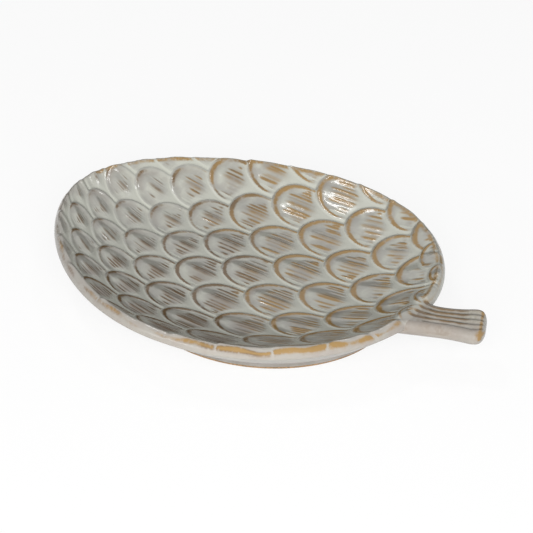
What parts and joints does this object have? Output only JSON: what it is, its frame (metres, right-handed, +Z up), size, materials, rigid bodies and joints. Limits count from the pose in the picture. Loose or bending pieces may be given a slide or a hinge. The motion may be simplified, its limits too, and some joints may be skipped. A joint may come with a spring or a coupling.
{
  "type": "pinecone-shaped dish",
  "caption": "Egg-shaped shallow stoneware dish pressed inside with overlapping pinecone scales, with a bent stem handle and a foot ring, for serving or holding small things.",
  "frame": {"origin": "on the table under the middle of the whole dish with its stem", "axes": "+Z up out of the bowl, +X along the length from the cone's tip to its stem"},
  "size_m": [0.1886, 0.1366, 0.0214],
  "materials": {
    "glaze": "glossy reactive glaze, pale grey-green, breaking to ochre brown on raised edges",
    "bare_clay": "fired stoneware clay, glazed on its sides, bare where it rests"
  },
  "bodies": {
    "root": {"dish_shell": "glaze", "foot_ring": "bare_clay", "stem_handle": "glaze"}
  },
  "joints": []
}
